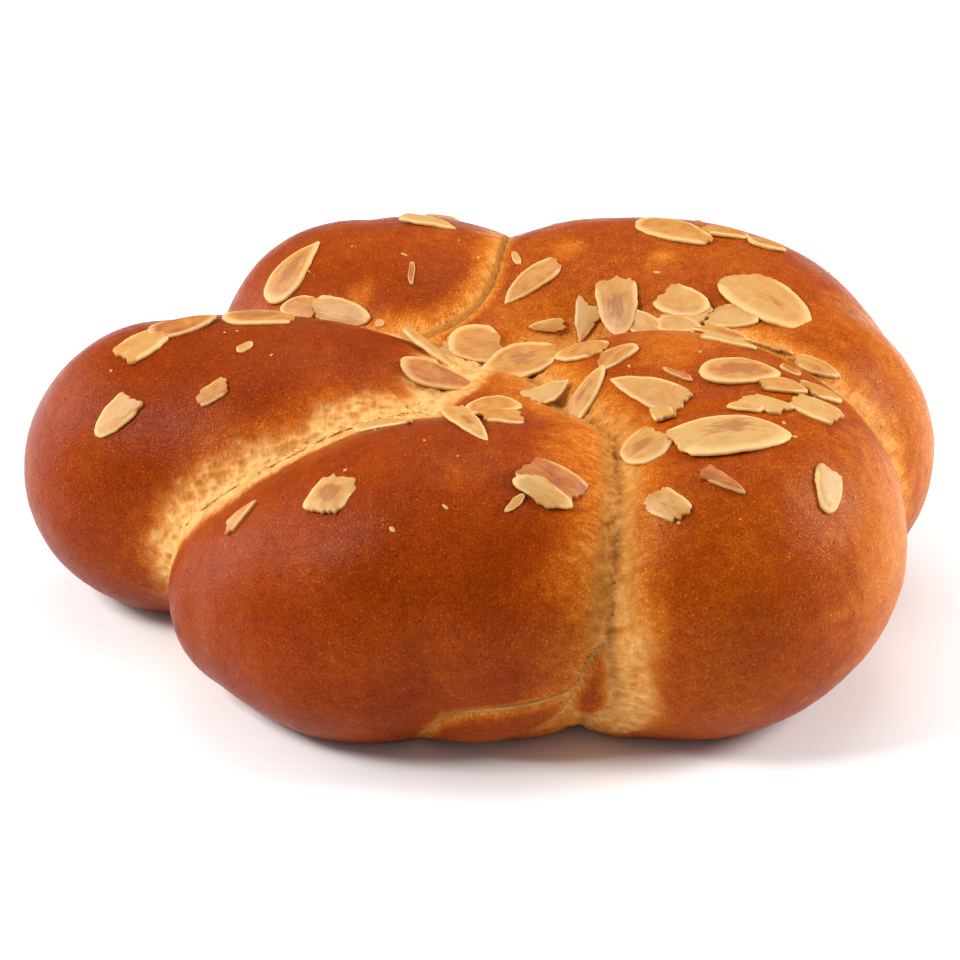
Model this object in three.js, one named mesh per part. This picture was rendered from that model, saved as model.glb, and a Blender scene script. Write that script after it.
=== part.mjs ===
// A plaited raisin bun, baked in one piece and strewn with flaked almonds.
// Millimetres, +Z up. The bun stands on z = 0 and its front faces -Y.

import * as THREE from 'three';
import { mergeVertices } from 'three/addons/utils/BufferGeometryUtils.js';

// Driving dimensions

const HEART = new THREE.Vector3(0, 0, 26); // the whole skin of the bun is in sight from here
const SKIN_SPLITS = 15; // how finely each edge of the starting icosahedron is split
const BALLS_PER_SPAN = 12; // balls swept along each span of a strand
const FLAKE_THICKNESS = 1;
const FLAKE_SIDES = 18; // corners in the outline of a flake
const FLAKE_BEND_RADIUS = 34; // of a flake of bend 1, which sags over the round crust
const FLAKE_CHIP = 0.5; // how far a broken edge strays from a straight line
const FLAKE_GAP = 0.32; // clearance between a flake and what it lies on
const PROBE_HEIGHT = 20; // how high above the crust a flake is let down from
const DROP_HEIGHT = 200; // well above the bun

// The risen strands of the plait: x, y, z and radius at points along the middle of each.
// The last four are the end tucked under the front, the heart and the base they stand on.

const STRANDS = [
  [[-65, 5, 28.5, 30.5], [-44, 1, 31.5, 31], [-22, -3, 34.5, 25], [-4, -4, 36.5, 17]],
  [[-43, -38, 21, 19.5], [-24, -45, 25.5, 28.5], [3, -43, 28.5, 30], [1, -27, 34.5, 26.5],
    [2, -12, 39.5, 17]],
  [[14, -2, 38.5, 16], [39, -12, 34.5, 30], [55, -26, 30.5, 32], [43, -45, 29.5, 32]],
  [[-3, 17, 36.5, 19], [17, 38, 34.5, 31], [46, 34, 34.5, 34.5], [61, 9, 30.5, 33]],
  [[-26, 47, 33, 31], [-8, 39, 34.5, 31.5], [-4, 14, 36.5, 20]],
  [[-6, -54, 12.5, 15], [14, -47, 16.5, 19]],
  [[0, -5, 20, 28], [0, 5, 20, 28]],
  [[-30, 0, 17, 21], [0, -30, 17, 21], [30, 0, 17, 21], [0, 30, 17, 21], [-30, 0, 17, 21]],
  [[-50, 4, 15, 17], [-30, -28, 15, 17], [2, -40, 15, 17], [42, -34, 15, 17], [52, 4, 15, 17],
    [36, 36, 15, 17], [-2, 42, 15, 17], [-34, 34, 15, 17], [-50, 4, 15, 17]],
];

// Flaked almonds, from the lowest to the ones that lie over others: x, y, turn of the long
// axis in degrees from +X, length, width, and how each differs from a whole flat flake:
// point (how sharp its tip is), tail and head (shares broken off its ends), slant (of those
// breaks), belly (how much fuller its left side is), bend (how far it follows the crust),
// pitch and lean (degrees it is tipped by).

const FLAKES = {
  left: [
    [-69.3, 0.2, 32, 10.5, 8.5, { tail: 0.3, head: 0.12, slant: 0 }],
    [-61, 9, 14, 15, 8, { point: 0.5, lean: -16, bend: -0.6 }],
    [-46, 7.5, -4, 14.5, 9, { point: 0.3, head: 0.12, lean: -6 }],
    [-74, -15, 18, 10.5, 6, { head: 0.3, slant: -0.4, pitch: 6 }],
    [-54, -16.5, 22, 6.5, 3.8, { tail: 0.2, head: 0.3, slant: 0.5 }],
  ],
  rear_left: [
    [-38.5, 28, -22, 8, 6, { head: 0.3, slant: -0.3 }],
    [-29, 24.3, -30, 14.5, 5.6, { tail: 0.12, slant: 0.4, lean: 10 }],
    [-40, 37.5, 45, 17.5, 9, { point: 0.9 }],
    [-11, 46, -30, 13, 5, { point: 0.5, tail: 0.2, slant: 0.2, pitch: -8, bend: 0.3 }],
  ],
  middle: [
    [-4.5, 5.5, -5, 7, 6.5, { tail: 0.3, slant: 0.4 }],
    [0.3, 8.5, 15, 11, 8, { head: 0.12, belly: 0.35, lean: -6 }],
    [8.5, 5.5, 21, 15, 6, { point: 0.3, head: 0.08, slant: 0.5 }],
    [-9.5, 4, -38, 18, 3.6, { point: 0.4, tail: 0.1, bend: 0.5 }],
    [-9, -7.5, -14, 15.5, 7, { point: 0.8, head: 0.1, belly: -0.2 }],
  ],
  front: [
    [2.7, -29, 11, 11.5, 8, { belly: 0.4, bend: 0.6 }],
    [4.5, -35, -8, 8, 6, { tail: 0.35, head: 0.2, slant: -0.4 }],
    [-2.3, -39.5, -62, 17, 5, { point: 0.5, tail: 0.1, slant: 0.8 }],
    [-17.5, -31, -39, 17.5, 4, { point: 0.7, head: 0.08 }],
    [-47, -47, 18, 8, 4.2, { point: 0.8, tail: 0.3, slant: 0.5 }],
    [-29, -55.5, 48, 12.5, 9, { tail: 0.25, head: 0.3, slant: -0.5, lean: 8 }],
    [13, -56.5, -12, 13.5, 9.5, { tail: 0.22, head: 0.2, slant: 0.35, bend: 1.3 }],
  ],
  right: [
    [21, -5, -14, 11.5, 6.5, { point: 0.3, head: 0.2, slant: 0.3, lean: -10 }],
    [28, -14, 21, 9, 5.6, { tail: 0.2, slant: 0.5, belly: 0.2 }],
    [12.5, -15.5, 8, 12, 5.8, { point: 0.6, tail: 0.25, slant: -0.4, belly: -0.2 }],
    [21.8, -20.5, 54, 13, 5.6, { point: 0.3, tail: 0.15, slant: 0.4 }],
    [36, -33, -75, 5.5, 4, { tail: 0.3, head: 0.3, slant: 0.3 }],
    [33, -25.8, 142, 17.5, 7.5, { point: 0.6, tail: 0.3, slant: 0.2 }],
    [52, -22.5, 7, 16.5, 9, { point: 0.4 }],
    [49, -45.8, 8, 23.5, 12, { point: 0.2, tail: 0.12, slant: -0.35, belly: -0.15 }],
    [60.7, -26.5, 5, 9.5, 5.6, { point: 0.3, tail: 0.1, belly: 0.4 }],
    [56.3, -34.8, -24, 9, 6, { tail: 0.3, head: 0.25, slant: 0.5 }],
    [69, -22.5, 20, 9.5, 6, { point: 0.2, tail: 0.2, slant: -0.3 }],
    [66.3, -32, 0, 10, 8, { tail: 0.12, head: 0.26, slant: 0.5 }],
    [31, -45, 28, 11, 10.5, { head: 0.22, slant: -0.3, lean: -12 }],
    [35.5, -62.3, -39, 8, 6, { tail: 0.3, head: 0.2, slant: 0.4 }],
    [47, -58.8, -28, 9.5, 3.2, { point: 0.6, tail: 0.2 }],
    [66.5, -53, -96, 9.8, 6.2, { tail: 0.3, slant: 0.3 }],
  ],
  rear_right: [
    [42, 9.3, -30, 11, 7, { tail: 0.2, head: 0.2, slant: 0.4 }],
    [41.3, 6.8, -39, 12, 4.4, { point: 0.3, belly: -0.3 }],
    [50, -0.5, -28, 12, 3.8, { point: 0.5, tail: 0.2, slant: 0.5 }],
    [50.5, -9, -11, 11.5, 5, { tail: 0.1, slant: 0.4, belly: 0.2, lean: -14 }],
    [68.5, -9, -9, 9.8, 4.2, { point: 0.6, tail: 0.1 }],
    [33.4, 12.3, -46, 10.7, 5.2, { head: 0.2, slant: 0.5, lean: 8 }],
    [22, 15.6, -112, 8.5, 6, { point: 0.9, tail: 0.4, slant: 0.6 }],
    [14.6, 17.2, 186, 8.2, 3.8, { point: 0.6, tail: 0.22, slant: 0.25 }],
    [11, 23.8, 218, 15.3, 6, { point: 0.5, tail: 0.12, slant: 0.4, belly: -0.25 }],
    [27.5, 18.6, -84, 14.3, 8.7, { tail: 0.32, slant: 0.12 }],
    [41, 13.8, -42, 13.5, 7.6, { tail: 0.18, slant: 0.5 }],
    [52, 4.4, -17, 10.8, 7.6, { tail: 0.15, belly: 0.4, slant: 0.2 }],
    [59.7, 9.6, -47, 22, 12.6, { tail: 0.1, slant: 0.5, bend: 0.9 }],
    [41, 37.5, -38, 19, 9, { point: 0.6, head: 0.1, lean: 6, bend: 0.7 }],
    [53, 38, -10, 9.5, 6.5, { tail: 0.3, slant: 0.4 }],
    [61, 34.5, -20, 8.5, 6, { point: 0.5, pitch: 4 }],
  ],
  back: [
    [-34, 70, 20, 14, 9, { point: 0.6 }],
    [-9, 65, 100, 12, 8, { tail: 0.25, slant: 0.4 }],
    [22, 66, -20, 16, 9.5, { point: 0.5 }],
    [44, 64, 12, 14, 8, { tail: 0.2, head: 0.15, slant: 0.4 }],
    [60, 60, 15, 12, 7, { point: 0.7 }],
    [-70, 27, 10, 11, 6.5, { tail: 0.2, slant: 0.3 }],
  ],
};

const CRUST = { color: 0x95491a, roughness: 0.45, metalness: 0 };
const PALE_ALMOND = { color: 0xdcae74, roughness: 0.6, metalness: 0 };
const TOASTED_ALMOND = { color: 0xb87a3c, roughness: 0.55, metalness: 0 };

// The value at share t of the way from b to c on a smooth curve through a, b, c and d.
function alongCurve(a, b, c, d, t) {
  const leave = (c - a) / 2;
  const arrive = (d - b) / 2;
  const bulge = 3 * (c - b) - 2 * leave - arrive;
  const settle = 2 * (b - c) + leave + arrive;
  return b + t * (leave + t * (bulge + t * settle));
}

// The balls of one strand, close enough together to read as a smooth rope.
function strandBalls(points) {
  const first = points[0].map((value, i) => 2 * value - points[1][i]);
  const last = points.at(-1).map((value, i) => 2 * value - points.at(-2)[i]);
  const knots = [first, ...points, last];
  const balls = [];
  for (let span = 0; span < points.length - 1; span += 1) {
    const [a, b, c, d] = knots.slice(span, span + 4);
    for (let step = 0; step <= BALLS_PER_SPAN; step += 1) {
      const t = step / BALLS_PER_SPAN;
      const [x, y, z, radius] = b.map((_, i) => alongCurve(a[i], b[i], c[i], d[i], t));
      balls.push({ offset: new THREE.Vector3(x, y, z).sub(HEART), radius });
    }
  }
  return balls;
}

// How far the skin lies from the heart in one direction: the farthest ball, or the base.
function skinDistance(direction, balls) {
  let reach = 0;
  for (const { offset, radius } of balls) {
    const along = direction.dot(offset);
    const depth = along * along - offset.lengthSq() + radius * radius;
    if (depth > 0) {
      reach = Math.max(reach, along + Math.sqrt(depth));
    }
  }
  const base = direction.z < 0 ? -HEART.z / direction.z : Infinity;
  return Math.min(reach, base);
}

// A round body of unit radius whose facets share their corners.
function roundBody() {
  const geometry = new THREE.IcosahedronGeometry(1, SKIN_SPLITS);
  geometry.deleteAttribute('normal');
  geometry.deleteAttribute('uv');
  return mergeVertices(geometry, 1e-5);
}

// The baked bun: one body with a flat base.
function makeLoaf() {
  const balls = STRANDS.flatMap(strandBalls);
  const geometry = roundBody();
  const corners = geometry.getAttribute('position');
  const direction = new THREE.Vector3();
  for (let i = 0; i < corners.count; i += 1) {
    direction.fromBufferAttribute(corners, i).normalize();
    direction.multiplyScalar(skinDistance(direction, balls)).add(HEART);
    corners.setXYZ(i, direction.x, direction.y, Math.max(direction.z, 0));
  }
  geometry.computeVertexNormals();
  const loaf = new THREE.Mesh(geometry, new THREE.MeshStandardMaterial(CRUST));
  loaf.name = 'loaf';
  return loaf;
}

// The outline of a flake about its middle: an almond slice with its broken ends cut off.
function flakeOutline({ length, width, point, tail, head, slant, belly }) {
  const whole = length / (1 - tail - head);
  const middle = (tail - head) * whole / 2;
  const outline = [];
  for (let i = 0; i < FLAKE_SIDES; i += 1) {
    const angle = (2 * Math.PI * i) / FLAKE_SIDES;
    const taper = Math.sin(angle / 2) ** point / (1 - 0.23 * point);
    const full = 1 + belly * Math.sign(Math.sin(angle));
    const across = (width / 2) * full * Math.sin(angle) * taper;
    const chip = FLAKE_CHIP * (i % 2 ? 1 : -1) + slant * across;
    const from = tail > 0 ? (tail - 0.5) * whole + chip : -whole;
    const to = head > 0 ? (0.5 - head) * whole + chip : whole;
    const along = THREE.MathUtils.clamp((whole / 2) * Math.cos(angle), from, to);
    outline.push(new THREE.Vector2(along - middle, across));
  }
  return outline;
}

// How far a flake's middle layer sags at one point.
function sag(spot, bend) {
  return -bend * spot.lengthSq() / (2 * FLAKE_BEND_RADIUS);
}

// The corners of one face of a flake: its middle, a ring halfway out, then its outline.
function faceCorners(outline, bend, height) {
  const spots = [new THREE.Vector2()];
  for (const share of [0.5, 1]) {
    spots.push(...outline.map((spot) => spot.clone().multiplyScalar(share)));
  }
  return spots.map((spot) => new THREE.Vector3(spot.x, spot.y, height + sag(spot, bend)));
}

// The facets of one face: a fan about its middle and a band out to its outline.
function faceFacets(start, upward) {
  const facets = [];
  for (let i = 0; i < FLAKE_SIDES; i += 1) {
    const j = (i + 1) % FLAKE_SIDES;
    const [a, b] = [start + 1 + i, start + 1 + j];
    const [c, d] = [a + FLAKE_SIDES, b + FLAKE_SIDES];
    facets.push([start, a, b], [a, c, d], [a, d, b]);
  }
  return upward ? facets : facets.map(([a, b, c]) => [a, c, b]);
}

// The facets of the rim between the two faces.
function rimFacets(perFace) {
  const facets = [];
  for (let i = 0; i < FLAKE_SIDES; i += 1) {
    const j = (i + 1) % FLAKE_SIDES;
    const [top, nextTop] = [1 + FLAKE_SIDES + i, 1 + FLAKE_SIDES + j];
    const [low, nextLow] = [top + perFace, nextTop + perFace];
    facets.push([top, low, nextLow], [top, nextLow, nextTop]);
  }
  return facets;
}

function flakeGeometry(outline, bend) {
  const top = faceCorners(outline, bend, FLAKE_THICKNESS / 2);
  const low = faceCorners(outline, bend, -FLAKE_THICKNESS / 2);
  const facets = [
    ...faceFacets(0, true),
    ...faceFacets(top.length, false),
    ...rimFacets(top.length),
  ];
  const geometry = new THREE.BufferGeometry().setFromPoints([...top, ...low]);
  geometry.setIndex(facets.flat());
  geometry.computeVertexNormals();
  return geometry;
}

// The height of the crust, or of a flake on it, above a spot in a plane with this normal.
function heightOver(spot, normal, below) {
  const from = spot.clone().addScaledVector(normal, PROBE_HEIGHT);
  const ray = new THREE.Raycaster(from, normal.clone().negate(), 0, 2 * PROBE_HEIGHT);
  const [hit] = ray.intersectObjects(below);
  return hit ? PROBE_HEIGHT - hit.distance : -PROBE_HEIGHT;
}

// The three directions of a plate whose long axis turns by this angle in plan.
function plateAxes(normal, turn) {
  const angle = THREE.MathUtils.degToRad(turn);
  const [x, y] = [Math.cos(angle), Math.sin(angle)];
  const along = new THREE.Vector3(x, y, -(x * normal.x + y * normal.y) / normal.z).normalize();
  return { along, across: new THREE.Vector3().crossVectors(normal, along), normal };
}

// The slope of what lies below, between two spots on either side of the middle.
function slopeOf(middle, direction, reach, normal, below) {
  const ahead = middle.clone().addScaledVector(direction, reach);
  const behind = middle.clone().addScaledVector(direction, -reach);
  const rise = heightOver(ahead, normal, below) - heightOver(behind, normal, below);
  return THREE.MathUtils.clamp(rise / (2 * reach), -0.6, 0.6);
}

// Lets a flake down until it rests, tilted as the crust is, just clear of what lies below.
function settle(mesh, outline, flake, below) {
  const { x, y, turn, length, width, bend, pitch, lean } = flake;
  const crust = below.slice(0, 1);
  const down = new THREE.Vector3(0, 0, -1);
  const drop = new THREE.Raycaster(new THREE.Vector3(x, y, DROP_HEIGHT), down);
  const [hit] = drop.intersectObjects(crust);
  const middle = hit.point;
  const first = plateAxes(hit.face.normal.clone(), turn);
  const rise = slopeOf(middle, first.along, length / 3, first.normal, crust);
  const roll = slopeOf(middle, first.across, width / 3, first.normal, crust);
  const normal = first.normal.clone()
    .addScaledVector(first.along, -rise - Math.tan(THREE.MathUtils.degToRad(pitch)))
    .addScaledVector(first.across, -roll - Math.tan(THREE.MathUtils.degToRad(lean)))
    .normalize();
  const { along, across } = plateAxes(normal, turn);
  let lift = -PROBE_HEIGHT;
  for (const share of [0, 0.2, 0.4, 0.6, 0.8, 1]) {
    for (const edge of outline) {
      const spot = edge.clone().multiplyScalar(share);
      const foot = middle.clone().addScaledVector(along, spot.x).addScaledVector(across, spot.y);
      lift = Math.max(lift, heightOver(foot, normal, below) - sag(spot, bend));
    }
  }
  const height = lift + FLAKE_GAP + FLAKE_THICKNESS / 2;
  mesh.quaternion.setFromRotationMatrix(new THREE.Matrix4().makeBasis(along, across, normal));
  mesh.position.copy(middle).addScaledVector(normal, height);
  mesh.updateMatrixWorld();
}

function makeFlake(name, row, index, below) {
  const [x, y, turn, length, width, ways] = row;
  const whole = { point: 0, tail: 0, head: 0, slant: 0, belly: 0, bend: 1, pitch: 0, lean: 0 };
  const flake = { x, y, turn, length, width, ...whole, ...ways };
  const outline = flakeOutline(flake);
  const finish = index % 3 ? PALE_ALMOND : TOASTED_ALMOND;
  const geometry = flakeGeometry(outline, flake.bend);
  const mesh = new THREE.Mesh(geometry, new THREE.MeshStandardMaterial(finish));
  mesh.name = name;
  settle(mesh, outline, flake, below);
  return mesh;
}

// The bun with every flake on it, each let down over the ones before it.
function makeTopping(loaf) {
  const pieces = [loaf];
  for (const [zone, rows] of Object.entries(FLAKES)) {
    rows.forEach((row, index) => {
      pieces.push(makeFlake(`${zone}_flake_${index + 1}`, row, index, pieces));
    });
  }
  return pieces;
}

// Stands the finished bun with the middle of its base on the origin.
function standOnOrigin(pieces) {
  const group = new THREE.Group();
  group.add(...pieces);
  const box = new THREE.Box3().setFromObject(group, true);
  const centre = box.getCenter(new THREE.Vector3());
  group.position.set(-centre.x, -centre.y, -box.min.z);
  return group;
}

const loaf = makeLoaf();
loaf.updateMatrixWorld();
const group = standOnOrigin(makeTopping(loaf));

export default group;
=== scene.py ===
"""A plaited bun with flaked almonds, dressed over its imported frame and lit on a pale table."""

import itertools
import logging
import math
from collections.abc import Iterator
from dataclasses import dataclass, field
from enum import Enum

import bmesh
import bpy
import numpy as np
from mathutils import Matrix, Vector
from mathutils.bvhtree import BVHTree


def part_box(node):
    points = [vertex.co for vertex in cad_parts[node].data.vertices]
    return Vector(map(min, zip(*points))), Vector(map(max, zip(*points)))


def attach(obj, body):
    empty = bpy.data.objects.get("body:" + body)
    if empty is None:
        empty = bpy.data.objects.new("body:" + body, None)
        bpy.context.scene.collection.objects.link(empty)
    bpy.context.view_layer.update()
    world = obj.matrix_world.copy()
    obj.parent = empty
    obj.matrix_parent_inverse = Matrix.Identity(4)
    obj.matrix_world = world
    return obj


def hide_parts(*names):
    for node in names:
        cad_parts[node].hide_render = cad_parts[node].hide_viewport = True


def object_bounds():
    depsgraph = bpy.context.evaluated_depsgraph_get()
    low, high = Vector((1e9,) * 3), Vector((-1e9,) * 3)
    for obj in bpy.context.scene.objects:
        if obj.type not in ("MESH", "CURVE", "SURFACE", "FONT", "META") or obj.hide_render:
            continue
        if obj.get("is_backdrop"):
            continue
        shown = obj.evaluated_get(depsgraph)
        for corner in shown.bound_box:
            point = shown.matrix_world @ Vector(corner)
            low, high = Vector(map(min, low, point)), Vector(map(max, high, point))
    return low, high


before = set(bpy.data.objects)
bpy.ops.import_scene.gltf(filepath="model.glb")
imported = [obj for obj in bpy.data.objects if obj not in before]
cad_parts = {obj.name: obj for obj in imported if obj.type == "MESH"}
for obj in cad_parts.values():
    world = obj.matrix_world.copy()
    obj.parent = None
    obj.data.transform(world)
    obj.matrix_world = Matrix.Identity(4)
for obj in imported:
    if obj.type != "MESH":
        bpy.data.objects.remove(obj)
cad_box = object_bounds()

log = logging.getLogger("bun")

MM = 0.001  # metres in a millimetre
BODY = "root"
Colour = tuple[float, float, float, float]


def colour(red: int, green: int, blue: int) -> Colour:
    """Turn a display colour into the linear one that a shader takes.

    Args:
        red: share of red, 0 to 255.
        green: share of green, 0 to 255.
        blue: share of blue, 0 to 255.

    Returns:
        The linear colour, with an alpha of one.
    """
    shares = [value / 255 for value in (red, green, blue)]
    linear = [s / 12.92 if s <= 0.04045 else ((s + 0.055) / 1.055) ** 2.4 for s in shares]
    return (*linear, 1.0)


def smooth_step(low: float, high: float, values: np.ndarray) -> np.ndarray:
    """Rise smoothly from 0 at low to 1 at high.

    Args:
        low: where the rise starts.
        high: where it ends.
        values: the places asked about.

    Returns:
        One share for each value.
    """
    share = np.clip((values - low) / (high - low), 0, 1)
    return share * share * (3 - 2 * share)


def unit(vectors: np.ndarray) -> np.ndarray:
    """Scale each row to unit length."""
    lengths = np.linalg.norm(vectors, axis=-1, keepdims=True)
    return vectors / np.maximum(lengths, 1e-9)


def glide(before: np.ndarray, start: np.ndarray, end: np.ndarray, after: np.ndarray,
          share: float) -> np.ndarray:
    """Go along a smooth line that passes through its points.

    Args:
        before: the point before the start.
        start: of the span.
        end: of the span.
        after: the point after the end.
        share: how far along the span.

    Returns:
        The place on the line.
    """
    leave = (end - before) / 2
    arrive = (after - start) / 2
    bulge = 3 * (end - start) - 2 * leave - arrive
    ease = 2 * (start - end) + leave + arrive
    return start + share * (leave + share * (bulge + share * ease))


class Noise:
    """Smooth gradient noise of about -1 to 1, the same on every run."""

    SIZE = 256
    GAIN = 1.6

    def __init__(self, seed: int) -> None:
        """Draw the table of slopes.

        Args:
            seed: picks one noise out of many.
        """
        draw = np.random.default_rng(seed)
        self.order = np.tile(draw.permutation(self.SIZE), 3)
        self.slopes = unit(draw.normal(size=(self.SIZE, 3)))

    def at(self, points: np.ndarray, size: float) -> np.ndarray:
        """Read the noise at some points.

        Args:
            points: n by 3, in millimetres.
            size: how far apart its lumps are, in millimetres.

        Returns:
            n values.
        """
        scaled = points / size
        cell = np.floor(scaled).astype(int)
        inside = scaled - cell
        fade = inside**3 * (inside * (inside * 6 - 15) + 10)
        total = np.zeros(len(points))
        for corner in itertools.product((0, 1), repeat=3):
            x, y, z = ((cell + corner) % self.SIZE).T
            slope = self.slopes[self.order[self.order[self.order[x] + y] + z]]
            share = np.prod(np.where(corner, fade, 1 - fade), axis=1)
            total += share * np.einsum("ij,ij->i", slope, inside - corner)
        return self.GAIN * total

    def folds(self, points: np.ndarray, size: float) -> np.ndarray:
        """Read sharp-crested folds of about -1 to 1.

        Args:
            points: n by 3, in millimetres.
            size: how far apart the folds are, in millimetres.

        Returns:
            n values, highest along the crests.
        """
        coarse = 1 - 2 * np.abs(self.at(points, size))
        fine = 1 - 2 * np.abs(self.at(points + 31.7, size * 0.52))
        return 0.65 * coarse + 0.35 * fine


class Value:
    """A shader socket on which sums can be written."""

    def __init__(self, paint: "Paint", socket: bpy.types.NodeSocket) -> None:
        """Keep the socket and the tree that it belongs to."""
        self.paint = paint
        self.socket = socket

    def __add__(self, other: "Value | float") -> "Value":
        """Add another value or number."""
        return self.paint.math("ADD", self, other)

    def __sub__(self, other: "Value | float") -> "Value":
        """Subtract another value or number."""
        return self.paint.math("SUBTRACT", self, other)

    def __rsub__(self, other: "Value | float") -> "Value":
        """Subtract this value from a number."""
        return self.paint.math("SUBTRACT", other, self)

    def __mul__(self, other: "Value | float") -> "Value":
        """Multiply by another value or number."""
        return self.paint.math("MULTIPLY", self, other)

    __radd__ = __add__
    __rmul__ = __mul__

    def rise(self, low: float, high: float) -> "Value":
        """Rise smoothly from 0 where this value is low to 1 where it is high.

        Args:
            low: where the rise starts.
            high: where it ends; below low, the value falls instead.

        Returns:
            The share risen.
        """
        limits = {"Value": self, "From Min": low, "From Max": high}
        settings = {"interpolation_type": "SMOOTHSTEP"}
        return self.paint.read("ShaderNodeMapRange", "Result", settings, limits)


class Paint:
    """A material and the nodes that make it up."""

    def __init__(self, name: str) -> None:
        """Start an empty material.

        Args:
            name: of the material.
        """
        self.material = bpy.data.materials.new(name)
        self.material.use_nodes = True
        self.tree = self.material.node_tree
        self.tree.nodes.clear()

    def node(self, kind: str, settings: dict | None = None, inputs: dict | None = None) -> bpy.types.Node:
        """Add one node.

        Args:
            kind: the node's type.
            settings: what is set on the node itself; stops are a ramp's places and colours.
            inputs: a value, or a link, for each socket by its name or place.

        Returns:
            The node.
        """
        made = self.tree.nodes.new(kind)
        for name, setting in (settings or {}).items():
            if name == "stops":
                self._set_stops(made.color_ramp, setting)
            else:
                setattr(made, name, setting)
        for name, value in (inputs or {}).items():
            if isinstance(value, Value):
                self.tree.links.new(value.socket, made.inputs[name])
            else:
                made.inputs[name].default_value = value
        return made

    @staticmethod
    def _set_stops(ramp: bpy.types.ColorRamp, stops: list[tuple[float, Colour]]) -> None:
        """Give a ramp its stops.

        Args:
            ramp: the ramp of a new node, which has two stops.
            stops: the place and colour of each.
        """
        while len(ramp.elements) < len(stops):
            ramp.elements.new(1.0)
        for element, (place, shade) in zip(ramp.elements, stops):
            element.position = place
            element.color = shade

    def read(self, kind: str, output: str, settings: dict | None = None,
             inputs: dict | None = None) -> Value:
        """Add one node and take one of its outputs."""
        return Value(self, self.node(kind, settings, inputs).outputs[output])

    def math(self, operation: str, first: Value | float, second: Value | float) -> Value:
        """Work on two numbers.

        Args:
            operation: what a Math node calls it.
            first: a value or number.
            second: a value or number.

        Returns:
            The result.
        """
        return self.read("ShaderNodeMath", "Value", {"operation": operation}, {0: first, 1: second})

    def place(self) -> Value:
        """Read the place on the piece, in metres."""
        return self.read("ShaderNodeTexCoord", "Object")

    def attribute(self, name: str, output: str = "Fac") -> Value:
        """Read what the mesh carries under a name."""
        return self.read("ShaderNodeAttribute", output, {"attribute_name": name})

    def noise(self, place: Value, size: float, detail: float = 2.0) -> Value:
        """Read soft noise.

        Args:
            place: where on the piece.
            size: of its lumps, in the units of place.
            detail: how many finer layers it has.

        Returns:
            A value around one half.
        """
        inputs = {"Vector": place, "Scale": 1 / size, "Detail": detail}
        return self.read("ShaderNodeTexNoise", "Fac", None, inputs)

    def cells(self, place: Value, size: float) -> tuple[Value, Value]:
        """Read scattered cells.

        Args:
            place: where on the piece.
            size: of a cell, in the units of place.

        Returns:
            How far the middle of the cell is, in cells, and a chance of 0 to 1 for the cell.
        """
        found = self.node("ShaderNodeTexVoronoi", None, {"Vector": place, "Scale": 1 / size})
        distance = Value(self, found.outputs["Distance"])
        split = {0: Value(self, found.outputs["Color"])}
        return distance, self.read("ShaderNodeSeparateColor", "Red", None, split)

    def mix(self, share: Value | float, first: Value | Colour, second: Value | Colour) -> Value:
        """Mix two colours.

        Args:
            share: how much of the second.
            first: a colour or a link to one.
            second: a colour or a link to one.

        Returns:
            The mixed colour.
        """
        made = self.node("ShaderNodeMix", {"data_type": "RGBA"}, {0: share, 6: first, 7: second})
        return Value(self, made.outputs[2])

    def ramp(self, share: Value, stops: list[tuple[float, Colour]]) -> Value:
        """Turn a share into a colour along a row of stops."""
        return self.read("ShaderNodeValToRGB", "Color", {"stops": stops}, {"Fac": share})

    def bump(self, height: Value, depth: float) -> Value:
        """Roughen the surface.

        Args:
            height: a share of the depth.
            depth: in metres.

        Returns:
            The normal.
        """
        inputs = {"Height": height, "Distance": depth}
        return self.read("ShaderNodeBump", "Normal", None, inputs)

    def finish(self, inputs: dict) -> bpy.types.Material:
        """Close the material with its shader.

        Args:
            inputs: of the Principled shader.

        Returns:
            The material.
        """
        shader = self.read("ShaderNodeBsdfPrincipled", "BSDF", None, inputs)
        self.node("ShaderNodeOutputMaterial", None, {"Surface": shader})
        return self.material


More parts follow.
